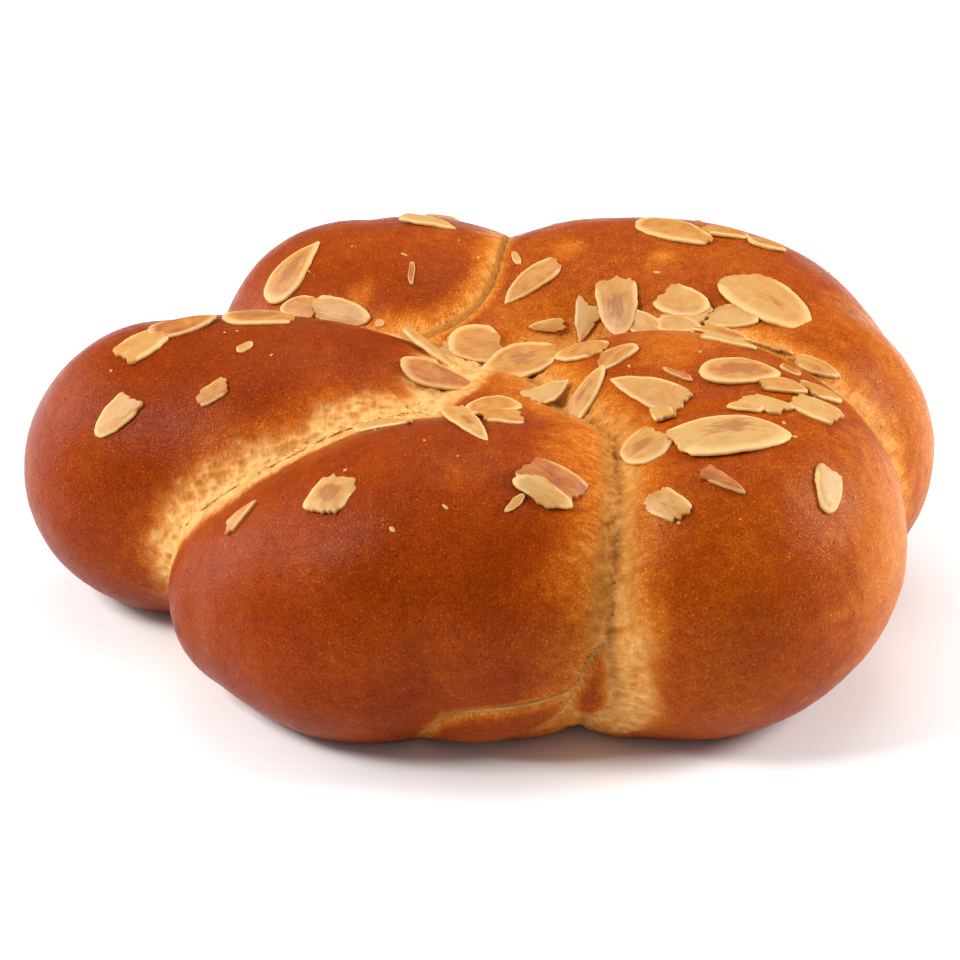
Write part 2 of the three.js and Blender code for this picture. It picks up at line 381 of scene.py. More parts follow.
@dataclass(frozen=True)
class CrustFinish:
    """Glazed crust, dark where it bulges and pale where the dough stretched beside a seam, with painted
    shade along the creases.
    """

    name: str = "glazed_crust"
    pale: Colour = colour(232, 168, 92)
    gold: Colour = colour(214, 140, 60)
    amber: Colour = colour(188, 98, 18)
    brown: Colour = colour(152, 61, 3)
    chestnut: Colour = colour(122, 38, 0)
    crumb: Colour = colour(234, 184, 116)
    crumb_gold: Colour = colour(204, 132, 56)
    crumb_shade: Colour = colour(164, 94, 32)
    # painted shade, laid along the line of each crease
    cleft_and_painted_shade: Colour = colour(112, 58, 14)
    scorch: Colour = colour(92, 26, 6)

    def make(self) -> bpy.types.Material:
        """Build the material.

        Returns:
            The material, which reads the attributes of the baked loaf.
        """
        paint = Paint(self.name)
        place = paint.place()
        bake = paint.attribute("bake")
        torn = paint.attribute("torn")
        glow = paint.attribute("glow")
        cleft_and_painted_shade = paint.attribute("cleft_and_painted_shade")
        speckle = paint.noise(place, 0.4 * MM, 1.0)
        mottle = paint.noise(place, 2.2 * MM, 3.0)
        cloud = paint.noise(place, 14 * MM, 3.0)
        threads = paint.noise(paint.attribute("threads", "Vector"), 0.7, 2.0)
        fleck, luck = paint.cells(place, 0.8 * MM)
        flecks = fleck.rise(0.34, 0.1) * luck.rise(0.45, 0.7)
        level = bake - glow * 0.5 + (speckle - 0.5) * 0.5 - flecks * 0.24
        level = level + (mottle - 0.5) * (0.3 + glow * 0.2) + (cloud - 0.5) * 0.3
        level = level + (threads - 0.5) * glow * 0.6
        stops = [(0.0, self.pale), (0.25, self.gold), (0.5, self.amber), (0.76, self.brown),
                 (1.0, self.chestnut)]
        surface = paint.ramp(level, stops)
        crinkle = paint.noise(place, 2.0 * MM, 4.0)
        # the crinkle that raises the bumps also paints their crests paler and their hollows darker:
        # painted highlight and painted shade
        crumb_level = paint.attribute("pale") + (crinkle - 0.5) * 0.7 + (mottle - 0.5) * 0.2
        crumb_level = crumb_level + (threads - 0.5) * 0.4
        stops = [(0.0, self.crumb_shade), (0.5, self.crumb_gold), (1.0, self.crumb)]
        crumb = paint.ramp(crumb_level, stops)
        frayed = torn + (threads - 0.5) * 0.6 + (mottle - 0.5) * 0.3 + (crinkle - 0.5) * 0.2
        surface = paint.mix(frayed.rise(0.0, 1.1), surface, crumb)
        # painted shade darkens the crease line, where shade falls in the groove
        surface = paint.mix(cleft_and_painted_shade * 0.5, surface, self.cleft_and_painted_shade)
        pore, chance = paint.cells(place, 1.5 * MM)
        pores = pore.rise(0.2, 0.08) * chance.rise(0.8, 0.86) * (1 - torn)
        surface = paint.mix(pores * 0.6, surface, self.scorch)
        surface = paint.mix(paint.attribute("blot") * 0.8, surface, self.scorch)
        roughness = 0.31 + torn * 0.3 + (mottle - 0.5) * 0.2 + (speckle - 0.5) * 0.15
        relief = speckle * 0.45 + mottle * (0.4 + torn * 0.4) - pores * 0.5
        relief = relief + threads * glow * 0.6 + crinkle * torn * 3.2
        return paint.finish({
            "Base Color": surface,
            "Roughness": roughness,
            "Specular IOR Level": 0.06,
            "Normal": paint.bump(relief, 0.3 * MM),
        })


@dataclass(frozen=True)
class AlmondFinish:
    """Sliced almond, pale and fine-grained, browned in its middle where it is toasted."""

    name: str
    pale: Colour = colour(196, 150, 84)
    golden: Colour = colour(190, 128, 50)
    toasted: Colour = colour(170, 88, 20)
    dark: Colour = colour(112, 64, 36)
    heart: Colour = colour(158, 90, 34)
    rim: Colour = colour(230, 192, 124)

    def make(self) -> bpy.types.Material:
        """Build the material.

        Returns:
            The material, which reads the attributes toast, heart, rim and grain.
        """
        paint = Paint(self.name)
        place = paint.place()
        toast = paint.attribute("toast")
        heart = paint.attribute("heart")
        rim = paint.attribute("rim")
        grain = paint.attribute("grain", "Vector")
        lines = paint.noise(grain, 1.0, 3.0)
        fleck = paint.noise(place, 0.35 * MM, 2.0)
        patch = paint.noise(place, 3.2 * MM, 3.0)
        level = toast + (patch - 0.5) * 0.8 + (lines - 0.5) * 0.5 + (fleck - 0.5) * 0.3
        stops = [(0.0, self.pale), (0.34, self.golden), (0.68, self.toasted), (1.0, self.dark)]
        body = paint.ramp(level, stops)
        browned = (heart + (lines - 0.5) * 0.7 + (patch - 0.5) * 0.4).rise(0.36, 0.62)
        body = paint.mix(browned * 0.75, body, self.heart)
        edge = rim.rise(0.7, 1.0) * 0.75 * (1 - toast.rise(0.45, 1.0))
        body = paint.mix(edge, body, self.rim)
        relief = lines * 0.6 + fleck * 0.25 + patch * 0.3
        return paint.finish({
            "Base Color": body,
            "Roughness": 0.48 + (fleck - 0.5) * 0.2,
            "Subsurface Weight": 0.12,
            "Subsurface Radius": (1.0, 0.6, 0.3),
            "Subsurface Scale": 0.8 * MM,
            "Normal": paint.bump(relief, 0.16 * MM),
        })


@dataclass(frozen=True)
class TableFinish:
    """Matt white table top, very faintly mottled."""

    name: str = "white_table"
    light: Colour = colour(250, 250, 250)
    shade: Colour = colour(246, 246, 246)

    def make(self) -> bpy.types.Material:
        """Build the material."""
        paint = Paint(self.name)
        cloud = paint.noise(paint.place(), 40 * MM, 2.0)
        return paint.finish({"Base Color": paint.mix(cloud, self.light, self.shade), "Roughness": 0.8})


def mesh_piece(name: str, points: np.ndarray, faces: list, material: bpy.types.Material,
               **carried: np.ndarray) -> bpy.types.Object:
    """Make a smooth piece from points in millimetres.

    Args:
        name: of the piece.
        points: n by 3, in millimetres.
        faces: the corners of each face.
        material: its finish.
        **carried: a number, or three, for each point, under the name the finish reads.

    Returns:
        The piece, linked to the scene.
    """
    mesh = bpy.data.meshes.new(name)
    mesh.from_pydata((points * MM).tolist(), [], faces)
    mesh.polygons.foreach_set("use_smooth", np.ones(len(mesh.polygons), bool))
    for key, values in carried.items():
        if values.ndim == 1:
            layer = mesh.attributes.new(key, "FLOAT", "POINT")
            layer.data.foreach_set("value", values.astype(np.float32))
        else:
            layer = mesh.attributes.new(key, "FLOAT_VECTOR", "POINT")
            layer.data.foreach_set("vector", values.astype(np.float32).ravel())
    mesh.materials.append(material)
    mesh.update()
    made = bpy.data.objects.new(name, mesh)
    bpy.context.scene.collection.objects.link(made)
    return made


class Strand:
    """One strand of the plait: balls swept along a smooth line."""

    STEPS = 14  # balls in a span

    def __init__(self, knots: list[tuple[float, float, float, float]]) -> None:
        """Sweep the balls.

        Args:
            knots: x, y, z and radius along the strand, in millimetres.
        """
        given = np.array(knots, float)
        before = 2 * given[0] - given[1]
        after = 2 * given[-1] - given[-2]
        line = np.vstack([before, given, after])
        balls = []
        for span in zip(line, line[1:], line[2:], line[3:]):
            for share in np.linspace(0, 1, self.STEPS, endpoint=False):
                balls.append(glide(*span, share))
        balls.append(given[-1])
        self.centres = np.array(balls)[:, :3]
        self.radii = np.array(balls)[:, 3]

    def shift(self, by: np.ndarray) -> None:
        """Move the strand."""
        self.centres = self.centres + by

    def reach(self, points: np.ndarray) -> tuple[np.ndarray, np.ndarray]:
        """Measure from the strand's skin, read between its balls so that it has no steps.

        Args:
            points: n by 3, in millimetres.

        Returns:
            The distance to the skin, less than 0 inside, and the way out from it.
        """
        squares = (points**2).sum(1)[:, None] + (self.centres**2).sum(1)
        gaps = np.sqrt(np.maximum(squares - 2 * points @ self.centres.T, 0)) - self.radii
        near = np.clip(gaps.argmin(1), 1, len(self.radii) - 2)
        rows = np.arange(len(points))
        low, here, high = gaps[rows, near - 1], gaps[rows, near], gaps[rows, near + 1]
        bend = np.maximum(low - 2 * here + high, 1e-6)
        step = np.clip((low - high) / (2 * bend), -1, 1)
        distance = here + step * (high - low) / 2 + step**2 * bend / 2
        before, at, after = self.centres[near - 1], self.centres[near], self.centres[near + 1]
        share = step[:, None]
        middle = at + share * (after - before) / 2 + share**2 * (after - 2 * at + before) / 2
        return distance, unit(points - middle)


@dataclass(frozen=True)
class Seam:
    """How one strand's skin looks beside its neighbour; widths and heights in millimetres."""

    torn: float = 1.2  # width of the wrinkled band
    glow: float = 7.0  # width of the paler skin
    pale: float = 0.5  # how pale the wrinkled band is
    round: float = 1.4  # how widely the valley is filled
    fold: float = 0.2  # height of the wrinkles
    fibre: float = 0.15  # height of the threads of dough drawn across the seam
    sink: float = 0.2  # depth of the band
    skew: float = 0.0  # slant of the threads


@dataclass(frozen=True)
class Spot:
    """A small place on the crust that differs from the rest, in millimetres."""

    middle: tuple[float, float, float]
    radius: float
    height: float = 0.0
    bake: float = 0.0
    rough: float = 0.0
    blot: float = 0.0


@dataclass
class Crust:
    """The skin of the bun: where its points are, and what they carry."""

    points: np.ndarray
    faces: list
    carried: dict[str, np.ndarray]


STRANDS = {
    "left": [(-65, 5, 28.5, 30.5), (-44, 1, 31.5, 31), (-22, -3, 34.5, 25), (-4, -4, 36.5, 17)],
    "front": [(-43.5, -39.5, 20.8, 19), (-25, -46, 24.6, 28.3), (-9, -44.5, 28.6, 31),
              (9.5, -43, 28.5, 31), (5.5, -28, 35.2, 22.8), (4, -12, 39.5, 17)],
    "right": [(14, -2, 38.5, 16), (39, -12, 34.5, 30), (54.5, -26, 30, 31.5), (46, -44, 28.5, 31.5),
              (30, -50, 18, 20)],
    "rear_right": [(-6, 15, 37, 19), (17, 38, 34.5, 31), (48, 33, 33.8, 34.2), (62.5, 9, 30.5, 33)],
    "rear_left": [(-26, 47, 33, 31.2), (-8, 39, 34.5, 31.5), (-9, 15, 36, 18)],
    "tuck": [(-13, -54.5, 9, 10), (-1, -60, 13.6, 12.2), (9, -61.5, 17.5, 12), (20.2, -64, 24.4, 8.5),
             (21, -65, 17.7, 7.5)],
}
FILLING = [
    [(0, -5, 20, 28), (0, 5, 20, 28)],
    [(-30, 0, 17, 21), (0, -30, 17, 21), (30, 0, 17, 21), (0, 30, 17, 21), (-30, 0, 17, 21)],
    [(-50, 4, 15, 17), (-30, -28, 15, 17), (2, -40, 15, 17), (42, -34, 15, 17), (52, 4, 15, 17),
     (36, 36, 15, 17), (-2, 42, 15, 17), (-34, 34, 15, 17), (-50, 4, 15, 17)],
]
BAKE = {"left": 0.92, "front": 0.9, "right": 0.76, "rear_right": 0.73, "rear_left": 0.82, "tuck": 0.8}
SEAMS = {
    ("left", "front"): Seam(9.5, 21, 0.6, 4.5, 0.85, 0.2, 0.5, 0.4),
    ("front", "left"): Seam(7.5, 11, 0.6, 4.5, 0.25, 0.1, 0.0),
    ("left", "rear_left"): Seam(0.8, 4),
    ("rear_left", "left"): Seam(1.2, 9, 0.4),
    ("front", "right"): Seam(4.6, 24, 0.16, 1.8, 0.5, 0.15, 0.7),
    ("right", "front"): Seam(4.5, 14, 0.32, 1.8, 0.6, 0.15, 0.4),
    ("right", "rear_right"): Seam(0.4, 3),
    ("rear_right", "right"): Seam(0.5, 10, 0.5, 1.4, 0.15),
    ("rear_left", "rear_right"): Seam(0.8, 9, 0.05, 2.0, 0.2, 0.3, 0.3, 0.9),
    ("rear_right", "rear_left"): Seam(0.5, 3, 0.05),
    ("front", "tuck"): Seam(0.4, 2, 0.35, 0.5, 0.1, 0.1, 0.0),
    ("tuck", "front"): Seam(0.5, 4, 0.35, 0.5, 0.1, 0.1, 0.0),
    ("right", "tuck"): Seam(8.5, 15, 0.5, 1.4, 0.6, 0.15, 0.3),
    ("tuck", "right"): Seam(2.5, 6, 0.2, 1.4, 0.3, 0.1, 0.2),
    ("front", "rear_right"): Seam(1.0, 8),
    ("rear_right", "front"): Seam(1.0, 9, 0.5),
}
SWELLS = [(0.6, 28, 0), (0.22, 9, 90), (0.05, 2.6, 20)]  # height, size and place in the noise
SPOTS = [
    Spot((19.9, 32.7, 65.9), 5, 0.1, -0.25, 1.0),
    Spot((38.7, 26.3, 67.4), 4, 0.1, -0.25, 1.0),
    Spot((-24.6, 25.6, 58.4), 5, -0.3, -0.3, 0.6),
    Spot((-59, -47.6, 18.5), 3, 0.1, 0.1, 0.2, 0.8),
    Spot((42.4, -11, 64.6), 2.0, 0.6),
    Spot((36.6, -17.1, 64), 1.8, 0.5),
    Spot((60.2, -11, 61.4), 1.8, 0.5),
    Spot((-4, -57, 55.1), 7, 0.0, -0.16),
    Spot((84, -42, 34), 34, 0.0, -0.3),
    Spot((12, 14, 58), 18, 0.0, -0.14),
    Spot((40, -11, 65), 15, 0.0, -0.16),
    Spot((90, 12, 38), 36, 0.0, -0.3),
]


@dataclass
class Loaf:
    """The baked dough: strands that grew together, clipped flat where they stand."""

    heart: tuple[float, float, float] = (0, 0, 26)
    spread: tuple[float, float, float] = (95, 77, 45)
    splits: int = 112
    band: float = 1.25  # how far past the wrinkled band the facets are halved
    relaxings: int = 6
    lean: tuple[float, float] = (0.8, -0.5)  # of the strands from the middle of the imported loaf
    seed: int = 11
    foot: float = 0.6  # skin below this height stays where it stands
    strands: list[Strand] = field(init=False)
    names: list[str] = field(init=False)

    def __post_init__(self) -> None:
        """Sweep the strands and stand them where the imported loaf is."""
        self.names = list(STRANDS)
        self.strands = [Strand(knots) for knots in [*STRANDS.values(), *FILLING]]
        low, high = (np.array(corner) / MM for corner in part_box("loaf"))
        self.offset = np.append(((low + high) / 2)[:2] + self.lean, 0.0)
        for strand in self.strands:
            strand.shift(self.offset)

    def make(self, material: bpy.types.Material) -> tuple[bpy.types.Object, BVHTree]:
        """Build the piece.

        Args:
            material: its crust.

        Returns:
            The piece, and its skin for laying flakes on, in millimetres.
        """
        crust = self._dress(*self._refine(*self._skin()))
        made = mesh_piece("baked_loaf", crust.points, crust.faces, material, **crust.carried)
        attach(made, BODY)
        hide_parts("loaf")
        return made, BVHTree.FromPolygons(crust.points.tolist(), crust.faces)

    def _globe(self) -> tuple[np.ndarray, np.ndarray]:
        """Divide a cube into squares and round it.

        Returns:
            Directions over the whole sphere, and the four corners of each facet.
        """
        count = self.splits
        steps = np.arange(count)
        i, j = (grid.ravel() for grid in np.meshgrid(steps, steps, indexing="ij"))
        corners = []
        for axis, side in itertools.product(range(3), (0, count)):
            ring = [(i, j), (i + 1, j), (i + 1, j + 1), (i, j + 1)]
            if side == 0:
                ring.reverse()
            for u, v in ring:
                spot = np.empty((len(i), 3), int)
                spot[:, axis] = side
                spot[:, (axis + 1) % 3] = u
                spot[:, (axis + 2) % 3] = v
                corners.append(spot)
        stacked = np.concatenate(corners)
        spots, index = np.unique(stacked, axis=0, return_inverse=True)
        facets = index.reshape(6, 4, -1).transpose(0, 2, 1).reshape(-1, 4)
        turned = np.tan(np.pi / 4 * (2 * spots / count - 1))
        return unit(unit(turned) * self.spread), facets

    def _skin(self) -> tuple[np.ndarray, np.ndarray]:
        """Find the outermost skin in every direction from the heart, then even it out.

        Returns:
            The points, in millimetres, and the corners of each facet.
        """
        ways, facets = self._globe()
        heart = np.array(self.heart) + self.offset
        centres = np.vstack([s.centres for s in self.strands]) - heart
        radii = np.concatenate([s.radii for s in self.strands])
        along = ways @ centres.T
        depth = along**2 - (centres**2).sum(1) + radii**2
        reach = np.where(depth > 0, along + np.sqrt(np.maximum(depth, 0)), 0).max(1)
        falling = np.minimum(ways[:, 2], -1e-6)
        reach = np.where(ways[:, 2] < 0, np.minimum(reach, -heart[2] / falling), reach)
        points = heart + ways * reach[:, None]
        sides = np.vstack([np.column_stack([facets[:, k], facets[:, (k + 1) % 4]]) for k in range(4)])
        edges = np.unique(np.sort(sides, axis=1), axis=0)
        for _ in range(self.relaxings):
            points = self._settle(self._even(points, edges))
        return points, facets

    @staticmethod
    def _even(points: np.ndarray, edges: np.ndarray) -> np.ndarray:
        """Move points above the base halfway to the middle of their neighbours.

        Args:
            points: n by 3.
            edges: the two ends of each.

        Returns:
            The moved points.
        """
        total = np.zeros_like(points)
        ends = np.concatenate([edges[:, 0], edges[:, 1]])
        others = np.concatenate([edges[:, 1], edges[:, 0]])
        for axis in range(3):
            total[:, axis] = np.bincount(ends, points[others, axis], len(points))
        count = np.bincount(ends, minlength=len(points))[:, None]
        free = (points[:, 2] > Loaf.foot)[:, None]
        return np.where(free, (points + total / count) / 2, points)

    def _settle(self, points: np.ndarray) -> np.ndarray:
        """Bring points back onto the skin of the nearest strand.

        Args:
            points: n by 3.

        Returns:
            The moved points; those on the base stay where they are.
        """
        best = np.full(len(points), np.inf)
        ways = np.zeros_like(points)
        for strand in self.strands:
            distance, way = strand.reach(points)
            nearer = distance < best
            best = np.where(nearer, distance, best)
            ways[nearer] = way[nearer]
        moved = points - ways * best[:, None]
        moved[:, 2] = np.maximum(moved[:, 2], 0)
        return np.where((points[:, 2] > self.foot)[:, None], moved, points)

    def _beside(self, points: np.ndarray) -> dict[str, np.ndarray]:
        """Measure from every point to the seams between its strand and each of the others.

        Args:
            points: n by 3, on the skin.

        Returns:
            The point's own strand and the way out from it; and, for each strand in turn, the
            distance to the seam, the way to it, the way along it, how steeply the two strands
            meet and the way out of the other.
        """
        measured = [strand.reach(points) for strand in self.strands[:len(self.names)]]
        gaps = np.array([gap for gap, _ in measured])
        ways = np.array([way for _, way in measured])
        rows = np.arange(len(points))
        own = gaps.argmin(0)
        out = ways[own, rows]
        facing = (ways * out).sum(2)
        slope = ways - facing[:, :, None] * out
        steep = np.maximum(np.linalg.norm(slope, axis=2), 0.15)
        width = (gaps - gaps[own, rows]) / steep
        width[own, rows] = 1e3
        return {
            "own": own,
            "out": out,
            "width": width,
            "towards": -unit(slope),
            "along": np.cross(out[None], unit(slope)),
            "slant": steep / (1 + np.maximum(facing, -0.3)),
            "other_out": ways,
        }

    def _table(self, name: str, own: np.ndarray, facing: bool = False) -> np.ndarray:
        """Look up one of the seams' measures for every point and every neighbour.

        Args:
            name: of the measure.
            own: each point's strand.
            facing: whether to read the neighbour's side of the seam instead of the point's.

        Returns:
            The measure, by neighbour and point.
        """
        rows = [[getattr(SEAMS.get((a, b), Seam()), name) for b in self.names] for a in self.names]
        grid = np.array(rows)
        return (grid.T if facing else grid)[own].T

    def _torn(self, points: np.ndarray, beside: dict[str, np.ndarray]) -> np.ndarray:
        """Tell how far across the wrinkled band every point lies, for every neighbour.

        Args:
            points: n by 3.
            beside: the seams measured at them.

        Returns:
            Shares of the band, which is ragged, by neighbour and point.
        """
        noise = Noise(self.seed)
        ragged = 1 + 0.3 * noise.at(points, 9) + 0.16 * noise.at(points, 3.6)
        return beside["width"] / (self._table("torn", beside["own"]) * ragged)

    def _refine(self, points: np.ndarray, facets: np.ndarray) -> tuple[np.ndarray, list]:
        """Halve the facets beside the seams.

        Args:
            points: n by 3.
            facets: the corners of each.

        Returns:
            The points and faces.
        """
        share = self._torn(points, self._beside(points)).min(0)
        near = (share < self.band) & (points[:, 2] > 3)
        solid = bmesh.new()
        for point in points:
            solid.verts.new(point)
        solid.verts.ensure_lookup_table()
        for corners in facets.tolist():
            solid.faces.new([solid.verts[i] for i in corners])
        wanted = near[facets].any(1)
        chosen = [f for f, take in zip(solid.faces, wanted) if take]
        edges = list({edge for f in chosen for edge in f.edges})
        bmesh.ops.subdivide_edges(solid, edges=edges, cuts=1, use_grid_fill=True)
        solid.verts.ensure_lookup_table()
        solid.verts.index_update()
        moved = np.array([v.co for v in solid.verts])
        faces = [[v.index for v in f.verts] for f in solid.faces]
        solid.free()
        for _ in range(2):
            moved = self._settle(moved)
        return moved, faces

    def _blended(self, name: str, beside: dict[str, np.ndarray], weights: np.ndarray) -> np.ndarray:
        """Blend a measure of the seams round every point, without a step at the creases.

        Args:
            name: of the measure.
            beside: the seams measured at the points.
            weights: how much each neighbour counts, by neighbour and point.

        Returns:
            The measure at every point.
        """
        own = beside["own"]
        across = 0.5 * np.exp(-beside["width"] / 2)
        here = self._table(name, own) * (1 - across)
        there = self._table(name, own, facing=True) * across
        return (weights * (here + there)).sum(0)

    @staticmethod
    def _felt(points: np.ndarray, noise: Noise) -> Iterator[tuple[Spot, np.ndarray]]:
        """Tell how strongly each spot is felt.

        Args:
            points: n by 3.
            noise: frays the edges of the spots.

        Yields:
            Each spot, and its share of 0 to 1 at every point.
        """
        frayed = 1 + 0.3 * noise.at(points, 3)
        for spot in SPOTS:
            away = np.linalg.norm(points - np.array(spot.middle), axis=1) * frayed
            yield spot, 1 - smooth_step(0.2, 1.0, away / spot.radius)

    def _dress(self, points: np.ndarray, faces: list) -> Crust:
        """Raise and sink the skin, and note what its finish reads.

        Args:
            points: n by 3, on the plain skin.
            faces: the corners of each.

        Returns:
            The finished crust.
        """
        noise = Noise(self.seed + 1)
        beside = self._beside(points)
        own, width = beside["own"], beside["width"]
        torn_each = 1 - smooth_step(0.5, 1.35, self._torn(points, beside))
        ragged = 1 + 0.25 * noise.at(points, 11)
        glow_each = 1 - smooth_step(0.0, 1.0, width / (self._table("glow", own) * ragged))
        weights = (torn_each + 0.02) * np.exp(-width / 4) + 1e-12
        weights /= weights.sum(0)
        fold, fibre, sink, pale = (
            self._blended(name, beside, weights) for name in ("fold", "fibre", "sink", "pale")
        )
        torn = torn_each.max(0)
        glow = 1 - (1 - 0.97 * glow_each).prod(0)
        skew = self._table("skew", own)[:, :, None]
        drawn = beside["towards"] + skew * beside["along"]
        step = (weights * np.minimum(width, 30))[:, :, None] * drawn
        foot = points + step.sum(0)
        threads = noise.at(foot + 0.16 * (points - foot), 1.3)
        warped = points + 0.9 * np.column_stack([noise.at(points + k, 4.0) for k in (5, 50, 500)])
        wrinkles = noise.folds(warped, 3.2)
        relief = fold * (wrinkles + 0.3 * noise.at(points, 1.2)) + fibre * threads
        height = sum(lift * noise.at(points + apart, size) for lift, size, apart in SWELLS)
        wide = self._table("round", own)
        filled = wide * beside["slant"] * np.exp(-width / wide)
        height += 0.9 * filled.max(0)
        height += torn * (relief - sink)
        height += 0.5 * fibre * glow * (1 - torn) * noise.at(foot + 0.1 * (points - foot), 1.6)
        nearest = width.min(0)
        # the crease mask: it sinks the groove, and the finish paints shade along it
        cleft_and_painted_shade = np.exp(-((nearest / (0.9 + 0.8 * pale)) ** 2)) * (0.7 + 0.5 * noise.at(points, 7))
        cleft_and_painted_shade *= np.clip(1.25 - 1.1 * pale, 0.3, 1)
        height -= cleft_and_painted_shade * (0.25 + 0.8 * fold)
        bake = np.array([BAKE[name] for name in self.names])
        share = 0.5 * np.exp(-nearest / 3)
        rows = np.arange(len(points))
        other = width.argmin(0)
        baked = bake[own] * (1 - share) + bake[other] * share
        blend = 0.5 * np.exp(-nearest / 5)[:, None]
        out = unit(beside["out"] * (1 - blend) + beside["other_out"][other, rows] * blend)
        rough = np.zeros(len(points))
        blot = np.zeros(len(points))
        for spot, here in self._felt(points, noise):
            height += spot.height * here
            baked += spot.bake * here
            rough = np.maximum(rough, spot.rough * here)
            blot = np.maximum(blot, spot.blot * here)
        height += rough * 0.2 * noise.folds(points, 1.4)
        lifted = points + out * height[:, None]
        lifted[:, 2] = np.maximum(lifted[:, 2], 0)
        standing = points[:, 2] < self.foot
        lifted[standing] = points[standing]
        return Crust(lifted, faces, {
            "bake": baked,
            "torn": torn,
            "glow": glow,
            # the wrinkles paint their crests paler and their hollows darker: painted highlight and
            # painted shade; the threads add pale fibres
            "pale": pale + torn * (0.25 * wrinkles + 0.1 * threads) + 0.22 * np.exp(-nearest / 3),
            # the crease mask, which the finish reads to paint shade along the groove
            "cleft_and_painted_shade": cleft_and_painted_shade,
            "blot": blot,
            "threads": foot + 0.1 * (points - foot),
        })


class Toast(Enum):
    """How far a flake has browned."""

    PALE = 0.05
    BLOND = 0.2
    GOLDEN = 0.38
    BROWN = 0.62


@dataclass(frozen=True)
class Look:
    """How one flake differs from the next, and how it has slipped since it was packed."""

    toast: Toast = Toast.PALE
    heart: float = 0.3  # how brown its middle is
    ridges: float = 0.3
    curl: float = 0.1  # of its ends
    tilt: float = 0.0  # towards the front, in degrees
    turn: float = 0.0  # in its own plane, in degrees
    slip: tuple[float, float, float] = (0.0, 0.0, 0.0)  # in millimetres
    size: tuple[float, float] = (1.0, 1.0)  # along and across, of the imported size


LOOKS = {
    "left_flake_1": Look(Toast.BLOND, 0.1),
    "left_flake_2": Look(Toast.BROWN, 0.4, 0.6, 0.3, 34, 0, (0, -5, 0), (0.95, 1.0)),
    "left_flake_3": Look(Toast.GOLDEN, 0.9, 0.3, tilt=14, slip=(0, -1.5, 0)),
    "left_flake_4": Look(Toast.BLOND, 0.1),
    "left_flake_5": Look(Toast.GOLDEN, 0.2),
    "rear_left_flake_1": Look(Toast.GOLDEN, 0.2),
    "rear_left_flake_2": Look(Toast.BLOND, 0.2),
    "rear_left_flake_3": Look(Toast.GOLDEN, 0.8, 0.4),
    "rear_left_flake_4": Look(Toast.PALE, 0.2),
    "middle_flake_1": Look(Toast.PALE, 0.1, tilt=8),
    "middle_flake_2": Look(Toast.GOLDEN, 0.3, tilt=8, slip=(-1, -3, 0), size=(1.05, 1.3)),
    "middle_flake_3": Look(Toast.GOLDEN, 0.6, 0.3, 0.1, 38, 0, (0.5, -14, 0), (1.05, 1.9)),
    "middle_flake_4": Look(Toast.BLOND, 0.3, 0.6, 0.1, 30, -14, (-1, -7, 0), (0.95, 0.9)),
    "middle_flake_5": Look(Toast.BROWN, 0.25, 0.7, 0.1, 18, -6, (0, -4.5, 0)),
    "front_flake_1": Look(Toast.GOLDEN, 0.3),
    "front_flake_2": Look(Toast.GOLDEN, 0.4, 0.6),
    "front_flake_3": Look(Toast.BLOND, 0.6),
    "front_flake_4": Look(Toast.BLOND, 0.2, tilt=12),
    "front_flake_5": Look(Toast.GOLDEN, 0.1),
    "front_flake_6": Look(Toast.BLOND, 0.8, 0.9, 0.4, slip=(0.3, 0, 0), size=(0.68, 0.94)),
    "front_flake_7": Look(Toast.BROWN, 0.2, 0.8, 0.3, slip=(-0.2, 1.4, 0), size=(0.9, 0.86)),
    "right_flake_1": Look(Toast.GOLDEN, 0.5, 0.4, tilt=26, slip=(-0.3, -2, 0)),
    "right_flake_2": Look(Toast.GOLDEN, 0.4, tilt=10),
    "right_flake_3": Look(Toast.PALE, 0.2, tilt=32, turn=26, slip=(1.2, -5, 0), size=(0.85, 0.95)),
    "right_flake_4": Look(Toast.BLOND, 0.6),
    "right_flake_5": Look(Toast.BLOND, 0.1),
    "right_flake_6": Look(Toast.BLOND, 0.3),
    "right_flake_7": Look(Toast.GOLDEN, 1.0, 0.4),
    "right_flake_8": Look(Toast.PALE, 0.7, 0.9, 0.2),
    "right_flake_9": Look(Toast.GOLDEN, 0.2),
    "right_flake_10": Look(Toast.PALE, 0.1),
    "right_flake_11": Look(Toast.GOLDEN, 0.2),
    "right_flake_12": Look(Toast.PALE, 0.3),
    "right_flake_13": Look(Toast.BLOND, 0.7, tilt=24, turn=8, size=(0.86, 1.15)),
    "right_flake_14": Look(Toast.BLOND, 0.6),
    "right_flake_15": Look(Toast.BROWN, 0.1),
    "right_flake_16": Look(Toast.PALE, 0.1),
    "rear_right_flake_1": Look(Toast.PALE, 0.2),
    "rear_right_flake_2": Look(Toast.BLOND, 0.4),
    "rear_right_flake_3": Look(Toast.GOLDEN, 0.6, tilt=14),
    "rear_right_flake_4": Look(Toast.PALE, 0.2, tilt=16),
    "rear_right_flake_5": Look(Toast.GOLDEN, 0.1, tilt=10),
    "rear_right_flake_6": Look(Toast.BLOND, 0.4, 0.8),
    "rear_right_flake_7": Look(Toast.PALE, 0.1),
    "rear_right_flake_8": Look(Toast.BLOND, 0.1, tilt=6, slip=(-0.8, -5, 0), size=(0.9, 0.8)),
    "rear_right_flake_9": Look(Toast.GOLDEN, 0.4),
    "rear_right_flake_10": Look(Toast.BLOND, 0.7, slip=(1, -3, 0), size=(0.96, 1.0)),
    "rear_right_flake_11": Look(Toast.BLOND, 0.4, slip=(2, -1, 0), size=(0.92, 1.0)),
    "rear_right_flake_12": Look(Toast.PALE, 0.35, 0.5),
    "rear_right_flake_13": Look(Toast.BLOND, 0.4, 0.5, 0.2),
    "rear_right_flake_14": Look(Toast.GOLDEN, 0.3, 0.4),
    "rear_right_flake_15": Look(Toast.GOLDEN, 0.2),
    "rear_right_flake_16": Look(Toast.GOLDEN, 0.2),
}


